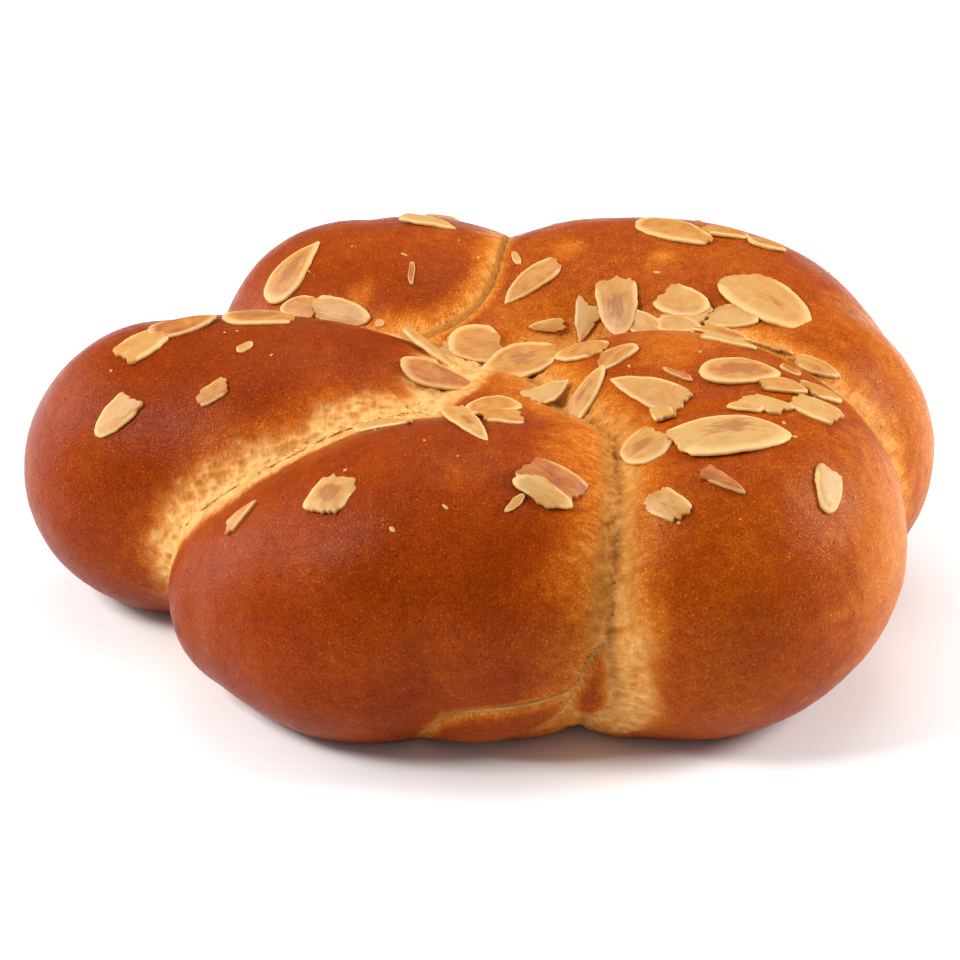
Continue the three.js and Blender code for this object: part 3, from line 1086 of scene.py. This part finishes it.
SLIVERS = [
    (-13.6, 26.1, -96, 6.4, 1.5, Look(Toast.BROWN, 0.2)),
    (7.6, -62.5, 51, 5.0, 1.6, Look(Toast.BLOND, 0.1)),
    (40.6, -24.0, -42, 7.0, 1.3, Look(Toast.BROWN, 0.1)),
    (-47.0, -7.0, 36, 4.0, 2.0, Look(Toast.BLOND, 0.4)),
    (-20.0, 17.5, -45, 2.4, 1.7, Look(Toast.PALE, 0.1)),
    (52.8, -37.5, -21, 7.4, 2.8, Look(Toast.BLOND, 0.2)),
    (8.5, 31.4, -74, 4.6, 1.6, Look(Toast.PALE, 0.1)),
    (60.7, -5.7, -26, 8.8, 1.0, Look(Toast.GOLDEN, 0.1)),
    (63.0, -17.5, 13, 4.6, 4.0, Look(Toast.BROWN, 0.5)),
    (12.4, -60.2, -26, 12.5, 4.4, Look(Toast.PALE, 0.1, 0.5, 0.2)),
]  # where each lies, its turn in degrees, its length and its width


@dataclass
class Slice:
    """A thin curved plate: its place, its outline in its own plane, and how it bends."""

    middle: np.ndarray
    along: np.ndarray
    across: np.ndarray
    normal: np.ndarray
    outline: np.ndarray
    bend: float
    thickness: float
    look: Look
    seed: int

    BEND_RADIUS = 34.0
    FINE = 5  # fine corners for each coarse one
    SHARES = (0.18, 0.38, 0.57, 0.74, 0.88, 0.965)
    EMBED = 0.18  # how far a flake is pressed into what it lies on
    KINK = 0.45  # a corner that strays farther than this is on a break
    LIFT = 6.0  # how far above its place a flake starts to fall
    FEWEST = 12  # corners that must find ground for a flake to fall
    PRESSED = 14  # how many corners in a hundred are pressed in the most
    SAG = 0.6  # how much of the ground's shape a flake takes on
    DEEPEST = 2.2  # how far it sags at most

    def broken(self) -> np.ndarray:
        """Find the corners on broken ends, which stray to and fro.

        Returns:
            True for each corner of the outline on a break.
        """
        bends = np.roll(self.outline, 1, 0) - 2 * self.outline + np.roll(self.outline, -1, 0)
        strong = np.abs(bends[:, 0]) > self.KINK
        flips = np.sign(bends[:, 0]) != np.sign(np.roll(bends[:, 0], -1))
        pairs = strong & np.roll(strong, -1) & flips
        return pairs | np.roll(pairs, 1)

    def fine_outline(self) -> tuple[np.ndarray, np.ndarray]:
        """Round the outline and chip its broken ends.

        Returns:
            The fine outline, and how broken it is at each corner.
        """
        broken = self.broken()
        plain = self.outline.copy()
        softer = (np.roll(plain, 1, 0) + 2 * plain + np.roll(plain, -1, 0)) / 4
        plain[broken, 0] = softer[broken, 0]
        spots, chips = [], []
        count = len(plain)
        for i in range(count):
            span = [plain[(i + k) % count] for k in (-1, 0, 1, 2)]
            for share in np.arange(self.FINE) / self.FINE:
                spots.append(glide(*span, share))
                chips.append((1 - share) * broken[i] + share * broken[(i + 1) % count])
        spots, chips = np.array(spots), np.array(chips)
        noise = Noise(self.seed)
        places = np.column_stack([spots, np.full(len(spots), self.seed * 3.7)])
        wobble = 0.22 * noise.at(places, 2.5) + 0.12 * noise.at(places, 0.9)
        jag = chips * (0.7 * noise.at(places, 1.6) + 0.6 * noise.at(places, 0.8))
        return spots + unit(spots) * (wobble + jag)[:, None], chips

    def build(self) -> tuple[np.ndarray, list, dict[str, np.ndarray], np.ndarray]:
        """Make the plate's points and faces, in millimetres.

        Returns:
            The points, the faces, what the finish reads, and which points lie underneath.
        """
        rim, chips = self.fine_outline()
        count = len(rim)
        noise = Noise(self.seed + 100)
        shares = [*self.SHARES, 1.0]
        layers = [(share, 1) for share in shares] + [(1.014, 0)] + [(s, -1) for s in reversed(shares)]
        spots = np.vstack([rim * share for share, _ in layers] + [np.zeros((2, 2))])
        share = np.concatenate([np.full(count, s) for s, _ in layers] + [np.zeros(2)])
        side = np.concatenate([np.full(count, s) for _, s in layers] + [[1, -1]])
        chip = np.concatenate([np.tile(chips, len(layers)), np.zeros(2)])
        places = np.column_stack([spots, np.full(len(spots), self.seed * 5.1)])
        half = self.thickness / 2 * (1 - 0.35 * share**5 * (1 - chip))
        half = half * (1 + 0.12 * noise.at(places, 3.0))
        long_way = np.abs(rim[:, 0]).max()
        ends = (np.abs(spots[:, 0]) / long_way) ** 3
        height = -self.bend * (spots**2).sum(1) / (2 * self.BEND_RADIUS)
        height += 0.22 * noise.at(places, 6) + self.look.curl * ends * 1.5
        streaks = places * (0.45, 1.0, 1.0)
        crest = 0.28 * self.look.ridges * noise.folds(streaks + 7, 2.2) * (side > 0)
        height += side * half + crest * (1 - share**4)
        points = (self.middle + spots[:, :1] * self.along + spots[:, 1:] * self.across
                  + height[:, None] * self.normal)
        heart = np.exp(-((spots[:, 0] / (0.62 * long_way)) ** 2)
                       - (spots[:, 1] / (0.55 * np.abs(rim[:, 1]).max())) ** 2)
        grain = np.column_stack([spots[:, 0] * 0.35, spots[:, 1] * 1.3, height * 0.8])
        carried = {
            "toast": np.full(len(spots), self.look.toast.value),
            "heart": self.look.heart * heart,
            "rim": share * (1 - 0.6 * chip),
            "grain": grain + self.seed,
        }
        return points, self._faces(count, len(layers)), carried, side < 0

    @staticmethod
    def _faces(count: int, layers: int) -> list:
        """Join the rings, and close both ends about a middle.

        Args:
            count: corners in a ring.
            layers: how many rings.

        Returns:
            The corners of each face, outwards.
        """
        faces = []
        top, low = count * layers, count * layers + 1
        last = count * (layers - 1)
        for i in range(count):
            j = (i + 1) % count
            faces.append([top, i, j])
            faces.append([low, last + j, last + i])
            for ring in range(layers - 1):
                here, there = ring * count, (ring + 1) * count
                faces.append([here + i, there + i, there + j, here + j])
        return faces

    def lie_on(self, points: np.ndarray, under: np.ndarray, ground: list[BVHTree]) -> np.ndarray:
        """Let the plate down until it is pressed into what lies below it.

        Args:
            points: of the plate.
            under: which of them lie underneath.
            ground: what it may lie on.

        Returns:
            The moved points.
        """
        way = Vector(-self.normal)
        gaps, spots = [], []
        for point in points[under]:
            start = Vector(point) - way * self.LIFT
            hits = [tree.ray_cast(start, way, 3 * self.LIFT)[3] for tree in ground]
            reached = [hit for hit in hits if hit is not None]
            if reached:
                gaps.append(min(reached) - self.LIFT)
                spots.append(point)
        if len(gaps) < self.FEWEST:
            return points
        gaps, spots = np.array(gaps), np.array(spots)
        fall = np.percentile(gaps, self.PRESSED) + self.EMBED
        left = gaps - fall
        shape = np.linalg.lstsq(self._bowl(spots), left, rcond=None)[0]
        sag = self.SAG * np.clip(self._bowl(points) @ shape, 0, self.DEEPEST)
        return points - (fall + sag)[:, None] * self.normal

    def _bowl(self, points: np.ndarray) -> np.ndarray:
        """Give the terms of a curved sheet over the plate's plane."""
        u, v = ((points - self.middle) @ way / 10 for way in (self.along, self.across))
        return np.column_stack([np.ones(len(u)), u, v, u * u, u * v, v * v])


def read_slice(name: str, look: Look, seed: int) -> Slice:
    """Recover a packed flake's place, outline and bend from its node.

    Args:
        name: of the node.
        look: how it differs from others.
        seed: for its own small irregularities.

    Returns:
        The flake as a slice, in millimetres.
    """
    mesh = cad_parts[name].data
    corners = np.array([v.co for v in mesh.vertices]) / MM
    spots, index = np.unique(np.round(corners, 3), axis=0, return_inverse=True)
    triangles = index.ravel()[np.array([p.vertices[:] for p in mesh.polygons])]
    beside = [set() for _ in spots]
    for triangle in triangles:
        for corner in triangle:
            beside[corner].update(triangle)
    counts = np.array([len(others) for others in beside])
    middles = sorted(np.argsort(counts)[-2:], key=lambda i: spots[i][2])
    low, top = middles
    after = {}
    for triangle in triangles.tolist():
        if top in triangle:
            place = triangle.index(top)
            after[triangle[(place + 1) % 3]] = triangle[(place + 2) % 3]
    ring = [next(iter(after))]
    while len(ring) < len(after):
        ring.append(after[ring[-1]])
    inner = spots[ring]
    guess = 2 * inner - spots[top]
    outer = np.array([
        min((spots[k] for k in beside[i]), key=lambda p, want=want: np.sum((p - want) ** 2))
        for i, want in zip(ring, guess)
    ])
    normal = unit(spots[top] - spots[low])
    flat = outer - spots[top]
    flat = flat - (flat @ normal)[:, None] * normal
    along = np.linalg.svd(flat)[2][0]
    along = along if along[0] > 0 else -along
    across = np.cross(normal, along)
    outline = np.column_stack([flat @ along, flat @ across])
    sunk = -((outer - spots[top]) @ normal)
    bend = float(np.mean(sunk / (outline**2).sum(1)) * 2 * Slice.BEND_RADIUS)
    thickness = float(np.linalg.norm(spots[top] - spots[low]))
    middle = (spots[top] + spots[low]) / 2 + look.slip
    turned = Matrix.Rotation(math.radians(look.tilt), 3, "X")
    turned = turned @ Matrix.Rotation(math.radians(look.turn), 3, Vector(normal))
    along, across, normal = (np.array(turned @ Vector(way)) for way in (along, across, normal))
    outline = outline * look.size
    return Slice(middle, along, across, normal, outline, bend, thickness, look, seed)


@dataclass
class Topping:
    """The flaked almonds, laid down in turn over the crust and over one another."""

    crust: BVHTree
    pale: bpy.types.Material
    toasted: bpy.types.Material
    laid: list[tuple[np.ndarray, BVHTree]] = field(default_factory=list)
    reach: float = 26.0  # flakes whose middles are farther apart never touch

    ABOVE = 150  # a height over the whole bun, in millimetres
    SLIVER_CORNERS = 12
    SLIVER_SEED = 200

    def lay(self) -> list[bpy.types.Object]:
        """Make every packed flake.

        Returns:
            The pieces, in the order they were laid.
        """
        names = [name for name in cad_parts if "flake" in name]
        zones = ["left", "rear_left", "middle", "front", "right", "rear_right", "back"]
        names.sort(key=lambda n: (zones.index(n.rsplit("_flake_", 1)[0]), int(n.rsplit("_", 1)[1])))
        pieces = []
        for seed, name in enumerate(names):
            made = self._drop(f"almond_{name}", read_slice(name, LOOKS.get(name, Look()), seed))
            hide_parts(name)
            pieces.append(made)
        return pieces

    def strew(self) -> list[bpy.types.Object]:
        """Make the slivers that broke off the flakes.

        Returns:
            The pieces.
        """
        pieces = []
        for number, (x, y, turn, length, width, look) in enumerate(SLIVERS, start=1):
            hit, out, _, _ = self.crust.ray_cast(Vector((x, y, self.ABOVE)), Vector((0, 0, -1)))
            angle = math.radians(turn)
            normal = np.array(out)
            across = unit(np.cross(normal, (math.cos(angle), math.sin(angle), 0)))
            along = np.cross(across, normal)
            corners = np.linspace(0, 2 * np.pi, self.SLIVER_CORNERS, endpoint=False)
            outline = np.column_stack([np.cos(corners) * length / 2, np.sin(corners) * width / 2])
            seed = self.SLIVER_SEED + number
            places = np.column_stack([outline, np.full(len(outline), seed)])
            outline = outline * (1 + 0.3 * Noise(seed).at(places, 1.7))[:, None]
            plate = Slice(np.array(hit), along, across, normal, outline, 1.0, 0.8, look, seed)
            pieces.append(self._drop(f"almond_sliver_{number}", plate))
        return pieces

    def _drop(self, name: str, plate: Slice) -> bpy.types.Object:
        """Let one flake down on whatever lies below it and make it a piece.

        Args:
            name: of the piece.
            plate: the flake.

        Returns:
            The piece.
        """
        points, faces, carried, under = plate.build()
        ground = [self.crust] + [
            tree for middle, tree in self.laid
            if np.linalg.norm(middle - plate.middle) < self.reach
        ]
        points = plate.lie_on(points, under, ground)
        self.laid.append((plate.middle, BVHTree.FromPolygons(points.tolist(), faces)))
        toasted = plate.look.toast.value > Toast.BLOND.value
        made = mesh_piece(name, points, faces, self.toasted if toasted else self.pale, **carried)
        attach(made, BODY)
        return made


@dataclass
class Chips:
    """Tiny chips of almond, strewn over the top of the crust by geometry nodes."""

    density: float = 3200.0  # chips on each square metre
    least: float = 0.2  # radius, in millimetres
    most: float = 0.7
    seed: int = 5
    floor: float = 50.0  # none lies below this, in millimetres

    def make(self, skin: bpy.types.Object, material: bpy.types.Material) -> bpy.types.Object:
        """Strew the chips.

        Args:
            skin: the loaf.
            material: of the chips.

        Returns:
            The chips, as one piece.
        """
        mesh = skin.data
        spots = np.empty(len(mesh.vertices) * 3)
        mesh.vertices.foreach_get("co", spots)
        spots = spots.reshape(-1, 3)
        high = spots[:, 2] > self.floor * MM
        faces = [tuple(f.vertices) for f in mesh.polygons if high[f.vertices[0]]]
        ground = bpy.data.meshes.new("ground")
        ground.from_pydata(spots.tolist(), [], faces)
        made = bpy.data.objects.new("almond_chips", ground)
        bpy.context.scene.collection.objects.link(made)
        tree = self._tree()
        modifier = made.modifiers.new("strew", "NODES")
        modifier.node_group = tree
        wanted = {"Density": self.density, "Least": self.least * MM, "Most": self.most * MM,
                  "Seed": self.seed, "Material": material}
        for socket in tree.interface.items_tree:
            if socket.in_out == "INPUT" and socket.name in wanted:
                modifier[socket.identifier] = wanted[socket.name]
        whole = made.evaluated_get(bpy.context.evaluated_depsgraph_get())
        plain = bpy.data.meshes.new_from_object(whole)
        made.modifiers.clear()
        made.data = plain
        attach(made, BODY)
        return made

    @staticmethod
    def _tree() -> bpy.types.NodeTree:
        """Build the nodes that strew chips over a mesh.

        Returns:
            The node group.
        """
        tree = bpy.data.node_groups.new("strewn_chips", "GeometryNodeTree")
        sockets = {"Ground": "Geometry", "Density": "Float", "Least": "Float", "Most": "Float",
                   "Seed": "Int", "Material": "Material"}
        for name, kind in sockets.items():
            tree.interface.new_socket(name, in_out="INPUT", socket_type=f"NodeSocket{kind}")
        tree.interface.new_socket("Chips", in_out="OUTPUT", socket_type="NodeSocketGeometry")
        given = tree.nodes.new("NodeGroupInput")
        spread = tree.nodes.new("GeometryNodeDistributePointsOnFaces")
        ball = tree.nodes.new("GeometryNodeMeshIcoSphere")
        size = tree.nodes.new("FunctionNodeRandomValue")
        shape = tree.nodes.new("FunctionNodeRandomValue")
        scale = tree.nodes.new("ShaderNodeVectorMath")
        turn = tree.nodes.new("FunctionNodeRandomValue")
        turned = tree.nodes.new("FunctionNodeRotateRotation")
        place = tree.nodes.new("GeometryNodeInstanceOnPoints")
        real = tree.nodes.new("GeometryNodeRealizeInstances")
        paint = tree.nodes.new("GeometryNodeSetMaterial")
        result = tree.nodes.new("NodeGroupOutput")
        ball.inputs["Radius"].default_value = 1.0
        ball.inputs["Subdivisions"].default_value = 1
        shape.data_type = "FLOAT_VECTOR"
        turn.data_type = "FLOAT_VECTOR"
        shape.inputs["Min"].default_value = (0.7, 0.5, 0.25)
        shape.inputs["Max"].default_value = (1.6, 1.0, 0.5)
        turn.inputs["Min"].default_value = (-0.2, -0.2, 0.0)
        turn.inputs["Max"].default_value = (0.2, 0.2, 6.28)
        turned.rotation_space = "LOCAL"
        scale.operation = "SCALE"
        size_least, size_most = (s for s in size.inputs if s.enabled and s.name in ("Min", "Max"))
        size_value = next(s for s in size.outputs if s.enabled)
        joins = [
            (given.outputs["Ground"], spread.inputs["Mesh"]),
            (given.outputs["Density"], spread.inputs["Density"]),
            (given.outputs["Seed"], spread.inputs["Seed"]),
            (given.outputs["Least"], size_least),
            (given.outputs["Most"], size_most),
            (shape.outputs["Value"], scale.inputs[0]),
            (size_value, scale.inputs["Scale"]),
            (spread.outputs["Rotation"], turned.inputs["Rotation"]),
            (turn.outputs["Value"], turned.inputs["Rotate By"]),
            (spread.outputs["Points"], place.inputs["Points"]),
            (ball.outputs["Mesh"], place.inputs["Instance"]),
            (turned.outputs["Rotation"], place.inputs["Rotation"]),
            (scale.outputs["Vector"], place.inputs["Scale"]),
            (place.outputs["Instances"], real.inputs["Geometry"]),
            (real.outputs["Geometry"], paint.inputs["Geometry"]),
            (given.outputs["Material"], paint.inputs["Material"]),
            (paint.outputs["Geometry"], result.inputs["Chips"]),
        ]
        for start, end in joins:
            tree.links.new(start, end)
        return tree


LIGHTS = {
    "left_light": ((-0.62, -0.25, 0.63), 0.26, 6.6),
    "right_light": ((0.82, 0.08, 0.4), 0.36, 8.2),
    "top_light": ((0.05, 0.3, 0.95), 0.7, 3.6),
    "rim_light": ((-0.85, 0.35, 0.3), 0.5, 5.0),
}  # where each hangs from the loaf and its side, in metres, and its power, in watts


@dataclass
class Studio:
    """The white table, the soft lights round it and the camera in front."""

    elevation: float = 27.0
    distance: float = 0.8
    lens: float = 143.5
    aim_height: float = 0.4  # of the loaf's height
    sky: float = 0.3  # how bright the room is

    def build(self) -> None:
        """Set everything up round the loaf."""
        low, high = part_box("loaf")
        right, back = Loaf.lean
        target = Vector(((low.x + high.x) / 2 + right * MM, (low.y + high.y) / 2 + back * MM,
                         low.z + self.aim_height * (high.z - low.z)))
        self._camera(target)
        for name, (away, size, power) in LIGHTS.items():
            self._light(name, target, away, size, power)
        self._table()
        world = bpy.data.worlds.new("studio")
        world.use_nodes = True
        sky = world.node_tree.nodes["Background"]
        sky.inputs["Color"].default_value = (1, 1, 1, 1)
        sky.inputs["Strength"].default_value = self.sky
        bpy.context.scene.world = world
        bpy.context.scene.view_settings.view_transform = "Standard"

    def _camera(self, target: Vector) -> None:
        """Place the camera.

        Args:
            target: what it looks at.
        """
        data = bpy.data.cameras.new("camera")
        data.lens = self.lens
        data.clip_start = 0.05
        camera = bpy.data.objects.new("camera", data)
        angle = math.radians(self.elevation)
        back = Vector((0, -math.cos(angle), math.sin(angle))) * self.distance
        camera.location = target + back
        camera.rotation_euler = (-back).to_track_quat("-Z", "Y").to_euler()
        bpy.context.scene.collection.objects.link(camera)
        bpy.context.scene.camera = camera

    @staticmethod
    def _light(name: str, target: Vector, away: tuple[float, float, float], size: float,
               power: float) -> None:
        """Hang one soft square light.

        Args:
            name: of the light.
            target: what it shines on.
            away: where it hangs from there, in metres.
            size: of its side, in metres.
            power: in watts.
        """
        data = bpy.data.lights.new(name, "AREA")
        data.size = size
        data.energy = power
        light = bpy.data.objects.new(name, data)
        light.location = target + Vector(away)
        light.rotation_euler = (-Vector(away)).to_track_quat("-Z", "Y").to_euler()
        bpy.context.scene.collection.objects.link(light)

    @staticmethod
    def _table() -> None:
        """Lay the table top under the bun."""
        mesh = bpy.data.meshes.new("table_top")
        side = 2.0
        corners = [(-side, -side, 0), (side, -side, 0), (side, side, 0), (-side, side, 0)]
        mesh.from_pydata(corners, [], [(0, 1, 2, 3)])
        mesh.materials.append(TableFinish().make())
        table = bpy.data.objects.new("table_top", mesh)
        bpy.context.scene.collection.objects.link(table)
        table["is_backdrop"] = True


def main() -> None:
    """Build the bun, then its studio."""
    logging.basicConfig(level=logging.INFO, format="%(name)s: %(message)s")
    loaf, skin = Loaf().make(CrustFinish().make())
    log.info("%s: %d faces", loaf.name, len(loaf.data.polygons))
    topping = Topping(skin, AlmondFinish("pale_almond").make(), AlmondFinish("toasted_almond").make())
    for flake in [*topping.lay(), *topping.strew()]:
        log.info("%s: %d faces", flake.name, len(flake.data.polygons))
    chips = Chips().make(loaf, topping.pale)
    log.info("%s: %d faces", chips.name, len(chips.data.polygons))
    Studio().build()
    boxes = {"cad": cad_box, "visual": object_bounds()}
    {key: [list(corner) for corner in box] for key, box in boxes.items()}


if __name__ == "__main__":
    main()
